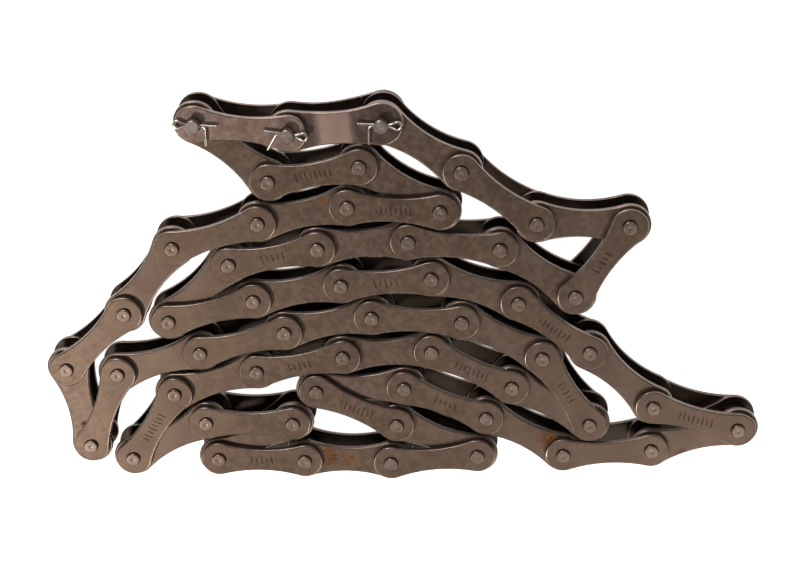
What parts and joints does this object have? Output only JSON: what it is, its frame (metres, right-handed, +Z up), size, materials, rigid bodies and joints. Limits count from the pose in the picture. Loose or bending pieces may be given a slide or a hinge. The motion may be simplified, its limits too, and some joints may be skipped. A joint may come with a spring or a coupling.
{
  "type": "roller chain",
  "caption": "Endless extended-pitch roller chain with waisted plates, riveted pins, one cottered connecting link and one cranked link, lying folded on its side.",
  "frame": {"origin": "bottom centre of the folded chain's bounding box, on the plane its pin ends lie on", "axes": "+X to the right along the rows of the pile, +Y up the pile as the picture shows it, +Z up along the pins"},
  "size_m": [0.2052, 0.1162, 0.016],
  "materials": {
    "inner_link_steel": "satin browned carbon steel",
    "outer_link_steel": "satin browned carbon steel",
    "repair_link_steel": "satin browned carbon steel, slightly brighter",
    "cottered_pin_steel": "ground carbon steel, lightly browned",
    "roller_steel": "browned rolled carbon steel",
    "cotter_steel": "zinc plated soft steel wire"
  },
  "bodies": {
    "inner_link_01": {"inner_link_01": "inner_link_steel"},
    "outer_link_02": {"outer_link_02": "outer_link_steel"},
    "inner_link_03": {"inner_link_03": "inner_link_steel"},
    "outer_link_04": {"outer_link_04": "outer_link_steel"},
    "inner_link_05": {"inner_link_05": "inner_link_steel"},
    "outer_link_06": {"outer_link_06": "outer_link_steel"},
    "inner_link_07": {"inner_link_07": "inner_link_steel"},
    "outer_link_08": {"outer_link_08": "outer_link_steel"},
    "inner_link_09": {"inner_link_09": "inner_link_steel"},
    "outer_link_10": {"outer_link_10": "outer_link_steel"},
    "inner_link_11": {"inner_link_11": "inner_link_steel"},
    "outer_link_12": {"outer_link_12": "outer_link_steel"},
    "inner_link_13": {"inner_link_13": "inner_link_steel"},
    "outer_link_14": {"outer_link_14": "outer_link_steel"},
    "inner_link_15": {"inner_link_15": "inner_link_steel"},
    "outer_link_16": {"outer_link_16": "outer_link_steel"},
    "inner_link_17": {"inner_link_17": "inner_link_steel"},
    "outer_link_18": {"outer_link_18": "outer_link_steel"},
    "inner_link_19": {"inner_link_19": "inner_link_steel"},
    "outer_link_20": {"outer_link_20": "outer_link_steel"},
    "inner_link_21": {"inner_link_21": "inner_link_steel"},
    "outer_link_22": {"outer_link_22": "outer_link_steel"},
    "inner_link_23": {"inner_link_23": "inner_link_steel"},
    "outer_link_24": {"outer_link_24": "outer_link_steel"},
    "inner_link_25": {"inner_link_25": "inner_link_steel"},
    "outer_link_26": {"outer_link_26": "outer_link_steel"},
    "inner_link_27": {"inner_link_27": "inner_link_steel"},
    "outer_link_28": {"outer_link_28": "outer_link_steel"},
    "inner_link_29": {"inner_link_29": "inner_link_steel"},
    "outer_link_30": {"outer_link_30": "outer_link_steel"},
    "inner_link_31": {"inner_link_31": "inner_link_steel"},
    "outer_link_32": {"outer_link_32": "outer_link_steel"},
    "inner_link_33": {"inner_link_33": "inner_link_steel"},
    "outer_link_34": {"outer_link_34": "outer_link_steel"},
    "inner_link_35": {"inner_link_35": "inner_link_steel"},
    "outer_link_36": {"outer_link_36": "outer_link_steel"},
    "inner_link_37": {"inner_link_37": "inner_link_steel"},
    "outer_link_38": {"outer_link_38": "outer_link_steel"},
    "inner_link_39": {"inner_link_39": "inner_link_steel"},
    "outer_link_40": {"outer_link_40": "outer_link_steel"},
    "inner_link_41": {"inner_link_41": "inner_link_steel"},
    "outer_link_42": {"outer_link_42": "outer_link_steel"},
    "inner_link_43": {"inner_link_43": "inner_link_steel"},
    "outer_link_44": {"outer_link_44": "outer_link_steel"},
    "inner_link_45": {"inner_link_45": "inner_link_steel"},
    "outer_link_46": {"outer_link_46": "outer_link_steel"},
    "inner_link_47": {"inner_link_47": "inner_link_steel"},
    "outer_link_48": {"outer_link_48": "outer_link_steel"},
    "inner_link_49": {"inner_link_49": "inner_link_steel"},
    "outer_link_50": {"outer_link_50": "outer_link_steel"},
    "inner_link_51": {"inner_link_51": "inner_link_steel"},
    "offset_link": {"offset_link_52": "repair_link_steel", "offset_pin": "cottered_pin_steel", "cotter_pin_52": "cotter_steel"},
    "connecting_link": {"connecting_rear_plate": "repair_link_steel", "connecting_front_plate": "repair_link_steel", "connecting_pins": "cottered_pin_steel", "cotter_pin_1": "cotter_steel", "cotter_pin_53": "cotter_steel"},
    "offset_roller": {"offset_roller": "roller_steel"}
  },
  "joints": [
    {"name": "pin_02", "type": "hinge", "parent": "outer_link_02", "child": "inner_link_01", "pos_m": [-0.03523, 0.03548, 0], "axis": [0, 0, 1], "range_deg": [-101.6, 203.6]},
    {"name": "pin_03", "type": "hinge", "parent": "inner_link_03", "child": "outer_link_02", "pos_m": [-0.01022, 0.03989, 0], "axis": [0, 0, 1], "range_deg": [-193.6, 111.6]},
    {"name": "pin_04", "type": "hinge", "parent": "outer_link_04", "child": "inner_link_03", "pos_m": [0.01156, 0.0268, 0], "axis": [0, 0, 1], "range_deg": [-304.6, 0.6]},
    {"name": "pin_05", "type": "hinge", "parent": "inner_link_05", "child": "outer_link_04", "pos_m": [-0.01381, 0.02813, 0], "axis": [0, 0, 1], "range_deg": [-138.6, 166.6]},
    {"name": "pin_06", "type": "hinge", "parent": "outer_link_06", "child": "inner_link_05", "pos_m": [-0.03874, 0.02329, 0], "axis": [0, 0, 1], "range_deg": [-146.6, 158.6]},
    {"name": "pin_07", "type": "hinge", "parent": "inner_link_07", "child": "outer_link_06", "pos_m": [-0.06303, 0.01586, 0], "axis": [0, 0, 1], "range_deg": [-116.6, 188.6]},
    {"name": "pin_08", "type": "hinge", "parent": "outer_link_08", "child": "inner_link_07", "pos_m": [-0.07832, -0.00442, 0], "axis": [0, 0, 1], "range_deg": [-161.6, 143.6]},
    {"name": "pin_09", "type": "hinge", "parent": "inner_link_09", "child": "outer_link_08", "pos_m": [-0.09659, -0.02207, 0], "axis": [0, 0, 1], "range_deg": [-95.6, 209.6]},
    {"name": "pin_10", "type": "hinge", "parent": "outer_link_10", "child": "inner_link_09", "pos_m": [-0.09174, -0.047, 0], "axis": [0, 0, 1], "range_deg": [-6.6, 298.6]},
    {"name": "pin_11", "type": "hinge", "parent": "inner_link_11", "child": "outer_link_10", "pos_m": [-0.08182, -0.02362, 0], "axis": [0, 0, 1], "range_deg": [-203.6, 101.6]},
    {"name": "pin_12", "type": "hinge", "parent": "outer_link_12", "child": "inner_link_11", "pos_m": [-0.0574, -0.01662, 0], "axis": [0, 0, 1], "range_deg": [-153.6, 151.6]},
    {"name": "pin_13", "type": "hinge", "parent": "inner_link_13", "child": "outer_link_12", "pos_m": [-0.03287, -0.01005, 0], "axis": [0, 0, 1], "range_deg": [-156.6, 148.6]},
    {"name": "pin_14", "type": "hinge", "parent": "outer_link_14", "child": "inner_link_13", "pos_m": [-0.00794, -0.0052, 0], "axis": [0, 0, 1], "range_deg": [-166.6, 138.6]},
    {"name": "pin_15", "type": "hinge", "parent": "inner_link_15", "child": "outer_link_14", "pos_m": [0.01743, -0.00653, 0], "axis": [0, 0, 1], "range_deg": [-175.6, 129.6]},
    {"name": "pin_16", "type": "hinge", "parent": "outer_link_16", "child": "inner_link_15", "pos_m": [0.04026, -0.01766, 0], "axis": [0, 0, 1], "range_deg": [-183.6, 121.6]},
    {"name": "pin_17", "type": "hinge", "parent": "inner_link_17", "child": "outer_link_16", "pos_m": [0.05409, -0.03897, 0], "axis": [0, 0, 1], "range_deg": [-303.6, 1.6]},
    {"name": "pin_18", "type": "hinge", "parent": "outer_link_18", "child": "inner_link_17", "pos_m": [0.03167, -0.02704, 0], "axis": [0, 0, 1], "range_deg": [-150.6, 154.6]},
    {"name": "pin_19", "type": "hinge", "parent": "inner_link_19", "child": "outer_link_18", "pos_m": [0.00884, -0.01591, 0], "axis": [0, 0, 1], "range_deg": [-122.6, 182.6]},
    {"name": "pin_20", "type": "hinge", "parent": "outer_link_20", "child": "inner_link_19", "pos_m": [-0.0165, -0.01768, 0], "axis": [0, 0, 1], "range_deg": [-145.6, 159.6]},
    {"name": "pin_21", "type": "hinge", "parent": "inner_link_21", "child": "outer_link_20", "pos_m": [-0.04143, -0.02252, 0], "axis": [0, 0, 1], "range_deg": [-146.6, 158.6]},
    {"name": "pin_22", "type": "hinge", "parent": "outer_link_22", "child": "inner_link_21", "pos_m": [-0.06572, -0.02995, 0], "axis": [0, 0, 1], "range_deg": [-112.6, 192.6]},
    {"name": "pin_23", "type": "hinge", "parent": "inner_link_23", "child": "outer_link_22", "pos_m": [-0.07956, -0.05125, 0], "axis": [0, 0, 1], "range_deg": [-1.6, 303.6]},
    {"name": "pin_24", "type": "hinge", "parent": "outer_link_24", "child": "inner_link_23", "pos_m": [-0.05713, -0.03933, 0], "axis": [0, 0, 1], "range_deg": [-180.6, 124.6]},
    {"name": "pin_25", "type": "hinge", "parent": "inner_link_25", "child": "outer_link_24", "pos_m": [-0.03173, -0.03933, 0], "axis": [0, 0, 1], "range_deg": [-304.6, 0.6]},
    {"name": "pin_26", "type": "hinge", "parent": "outer_link_26", "child": "inner_link_25", "pos_m": [-0.05416, -0.05125, 0], "axis": [0, 0, 1], "range_deg": [-1.6, 303.6]},
    {"name": "pin_27", "type": "hinge", "parent": "inner_link_27", "child": "outer_link_26", "pos_m": [-0.02876, -0.0517, 0], "axis": [0, 0, 1], "range_deg": [-152.6, 152.6]},
    {"name": "pin_28", "type": "hinge", "parent": "inner_link_27", "child": "outer_link_28", "pos_m": [-0.00337, -0.05214, 0], "axis": [0, 0, 1], "range_deg": [0, 58.05]},
    {"name": "pin_29", "type": "hinge", "parent": "outer_link_28", "child": "inner_link_29", "pos_m": [0.02189, -0.04948, 0], "axis": [0, 0, 1], "range_deg": [-303.6, 1.6]},
    {"name": "pin_30", "type": "hinge", "parent": "inner_link_29", "child": "outer_link_30", "pos_m": [-0.00149, -0.03956, 0], "axis": [0, 0, 1], "range_deg": [-150.6, 154.6]},
    {"name": "pin_31", "type": "hinge", "parent": "outer_link_30", "child": "inner_link_31", "pos_m": [-0.02451, -0.02883, 0], "axis": [0, 0, 1], "range_deg": [-0.6, 304.6]},
    {"name": "pin_32", "type": "hinge", "parent": "inner_link_31", "child": "outer_link_32", "pos_m": [0.00086, -0.0275, 0], "axis": [0, 0, 1], "range_deg": [-127.6, 177.6]},
    {"name": "pin_33", "type": "hinge", "parent": "outer_link_32", "child": "inner_link_33", "pos_m": [0.02441, -0.03701, 0], "axis": [0, 0, 1], "range_deg": [-146.6, 158.6]},
    {"name": "pin_34", "type": "hinge", "parent": "inner_link_33", "child": "outer_link_34", "pos_m": [0.04684, -0.04894, 0], "axis": [0, 0, 1], "range_deg": [-184.6, 120.6]},
    {"name": "pin_35", "type": "hinge", "parent": "outer_link_34", "child": "inner_link_35", "pos_m": [0.07217, -0.04716, 0], "axis": [0, 0, 1], "range_deg": [-164.6, 140.6]},
    {"name": "pin_36", "type": "hinge", "parent": "inner_link_35", "child": "outer_link_36", "pos_m": [0.09659, -0.04016, 0], "axis": [0, 0, 1], "range_deg": [-300.6, 4.6]},
    {"name": "pin_37", "type": "hinge", "parent": "outer_link_36", "child": "inner_link_37", "pos_m": [0.07217, -0.03316, 0], "axis": [0, 0, 1], "range_deg": [-125.6, 179.6]},
    {"name": "pin_38", "type": "hinge", "parent": "inner_link_37", "child": "outer_link_38", "pos_m": [0.0536, -0.01584, 0], "axis": [0, 0, 1], "range_deg": [-158.6, 146.6]},
    {"name": "pin_39", "type": "hinge", "parent": "outer_link_38", "child": "inner_link_39", "pos_m": [0.03331, -0.00055, 0], "axis": [0, 0, 1], "range_deg": [-172.6, 132.6]},
    {"name": "pin_40", "type": "hinge", "parent": "inner_link_39", "child": "outer_link_40", "pos_m": [0.00902, 0.00687, 0], "axis": [0, 0, 1], "range_deg": [-174.6, 130.6]},
    {"name": "pin_41", "type": "hinge", "parent": "outer_link_40", "child": "inner_link_41", "pos_m": [-0.01628, 0.00466, 0], "axis": [0, 0, 1], "range_deg": [-158.6, 146.6]},
    {"name": "pin_42", "type": "hinge", "parent": "inner_link_41", "child": "outer_link_42", "pos_m": [-0.04121, -0.00019, 0], "axis": [0, 0, 1], "range_deg": [-156.6, 148.6]},
    {"name": "pin_43", "type": "hinge", "parent": "outer_link_42", "child": "inner_link_43", "pos_m": [-0.06575, -0.00676, 0], "axis": [0, 0, 1], "range_deg": [-1.6, 303.6]},
    {"name": "pin_44", "type": "hinge", "parent": "inner_link_43", "child": "outer_link_44", "pos_m": [-0.04748, 0.01088, 0], "axis": [0, 0, 1], "range_deg": [-119.6, 185.6]},
    {"name": "pin_45", "type": "hinge", "parent": "outer_link_44", "child": "inner_link_45", "pos_m": [-0.02254, 0.01573, 0], "axis": [0, 0, 1], "range_deg": [-146.6, 158.6]},
    {"name": "pin_46", "type": "hinge", "parent": "inner_link_45", "child": "outer_link_46", "pos_m": [0.00276, 0.01794, 0], "axis": [0, 0, 1], "range_deg": [-142.6, 162.6]},
    {"name": "pin_47", "type": "hinge", "parent": "outer_link_46", "child": "inner_link_47", "pos_m": [0.02806, 0.01573, 0], "axis": [0, 0, 1], "range_deg": [-123.6, 181.6]},
    {"name": "pin_48", "type": "hinge", "parent": "inner_link_47", "child": "outer_link_48", "pos_m": [0.04912, 0.00153, 0], "axis": [0, 0, 1], "range_deg": [-242.5, 62.7]},
    {"name": "pin_49", "type": "hinge", "parent": "outer_link_48", "child": "inner_link_49", "pos_m": [0.06336, 0.02256, 0], "axis": [0, 0, 1], "range_deg": [-274.9, 30.3]},
    {"name": "pin_50", "type": "hinge", "parent": "inner_link_49", "child": "outer_link_50", "pos_m": [0.03797, 0.02338, 0], "axis": [0, 0, 1], "range_deg": [-118.4, 186.8]},
    {"name": "pin_51", "type": "hinge", "parent": "outer_link_50", "child": "inner_link_51", "pos_m": [0.01742, 0.03831, 0], "axis": [0, 0, 1], "range_deg": [-155.6, 149.6]},
    {"name": "pin_52", "type": "hinge", "parent": "inner_link_51", "child": "offset_link", "pos_m": [-0.00388, 0.05214, 0], "axis": [0, 0, 1], "range_deg": [-149, 71]},
    {"name": "pin_53", "type": "hinge", "parent": "offset_link", "child": "connecting_link", "pos_m": [-0.02914, 0.04948, 0], "axis": [0, 0, 1], "range_deg": [-98, 122]},
    {"name": "offset_roller_spin", "type": "hinge", "parent": "offset_link", "child": "offset_roller", "pos_m": [-0.02914, 0.04948, 0], "axis": [0, 0, 1], "continuous": true}
  ],
  "couplings": [
    {"joint": "pin_02", "follows": "pin_28", "ratio": -0.98204},
    {"joint": "pin_03", "follows": "pin_28", "ratio": 0.27275},
    {"joint": "pin_04", "follows": "pin_28", "ratio": -0.78095},
    {"joint": "pin_05", "follows": "pin_28", "ratio": 0.55915},
    {"joint": "pin_06", "follows": "pin_28", "ratio": -0.6162},
    {"joint": "pin_07", "follows": "pin_28", "ratio": 0.51513},
    {"joint": "pin_08", "follows": "pin_28", "ratio": -0.29987},
    {"joint": "pin_09", "follows": "pin_28", "ratio": 0.3212},
    {"joint": "pin_10", "follows": "pin_28", "ratio": 0.63257},
    {"joint": "pin_11", "follows": "pin_28", "ratio": -0.14289},
    {"joint": "pin_12", "follows": "pin_28", "ratio": -0.20519},
    {"joint": "pin_13", "follows": "pin_28", "ratio": -0.2678},
    {"joint": "pin_14", "follows": "pin_28", "ratio": 0.25707},
    {"joint": "pin_15", "follows": "pin_28", "ratio": -0.41651},
    {"joint": "pin_16", "follows": "pin_28", "ratio": 0.83568},
    {"joint": "pin_17", "follows": "pin_28", "ratio": -0.95532},
    {"joint": "pin_18", "follows": "pin_28", "ratio": 0.18935},
    {"joint": "pin_19", "follows": "pin_28", "ratio": -0.18219},
    {"joint": "pin_20", "follows": "pin_28", "ratio": 0.48388},
    {"joint": "pin_21", "follows": "pin_28", "ratio": 0.098976},
    {"joint": "pin_22", "follows": "pin_28", "ratio": -0.19793},
    {"joint": "pin_23", "follows": "pin_28", "ratio": 0.71817},
    {"joint": "pin_24", "follows": "pin_28", "ratio": -0.30829},
    {"joint": "pin_25", "follows": "pin_28", "ratio": -1.3576},
    {"joint": "pin_26", "follows": "pin_28", "ratio": 0.91292},
    {"joint": "pin_27", "follows": "pin_28", "ratio": 0.27953},
    {"joint": "pin_29", "follows": "pin_28", "ratio": -0.73929},
    {"joint": "pin_30", "follows": "pin_28", "ratio": -0.44853},
    {"joint": "pin_31", "follows": "pin_28", "ratio": 0.81581},
    {"joint": "pin_32", "follows": "pin_28", "ratio": -0.40945},
    {"joint": "pin_33", "follows": "pin_28", "ratio": 0.42407},
    {"joint": "pin_34", "follows": "pin_28", "ratio": 0.17853},
    {"joint": "pin_35", "follows": "pin_28", "ratio": 0.16349},
    {"joint": "pin_36", "follows": "pin_28", "ratio": -1.5682},
    {"joint": "pin_37", "follows": "pin_28", "ratio": 0.74308},
    {"joint": "pin_38", "follows": "pin_28", "ratio": 0.53074},
    {"joint": "pin_39", "follows": "pin_28", "ratio": -0.32498},
    {"joint": "pin_40", "follows": "pin_28", "ratio": -0.12244},
    {"joint": "pin_41", "follows": "pin_28", "ratio": 0.10231},
    {"joint": "pin_42", "follows": "pin_28", "ratio": -0.41017},
    {"joint": "pin_43", "follows": "pin_28", "ratio": 0.81709},
    {"joint": "pin_44", "follows": "pin_28", "ratio": -0.48392},
    {"joint": "pin_45", "follows": "pin_28", "ratio": -0.056942},
    {"joint": "pin_46", "follows": "pin_28", "ratio": 0.36723},
    {"joint": "pin_47", "follows": "pin_28", "ratio": 0.079339},
    {"joint": "pin_48", "follows": "pin_28", "ratio": 0.26842},
    {"joint": "pin_49", "follows": "pin_28", "ratio": -1.2145},
    {"joint": "pin_50", "follows": "pin_28", "ratio": 0.37703},
    {"joint": "pin_51", "follows": "pin_28", "ratio": 0.12416},
    {"joint": "pin_52", "follows": "pin_28", "ratio": -0.5938},
    {"joint": "pin_53", "follows": "pin_28", "ratio": 1.1545}
  ]
}
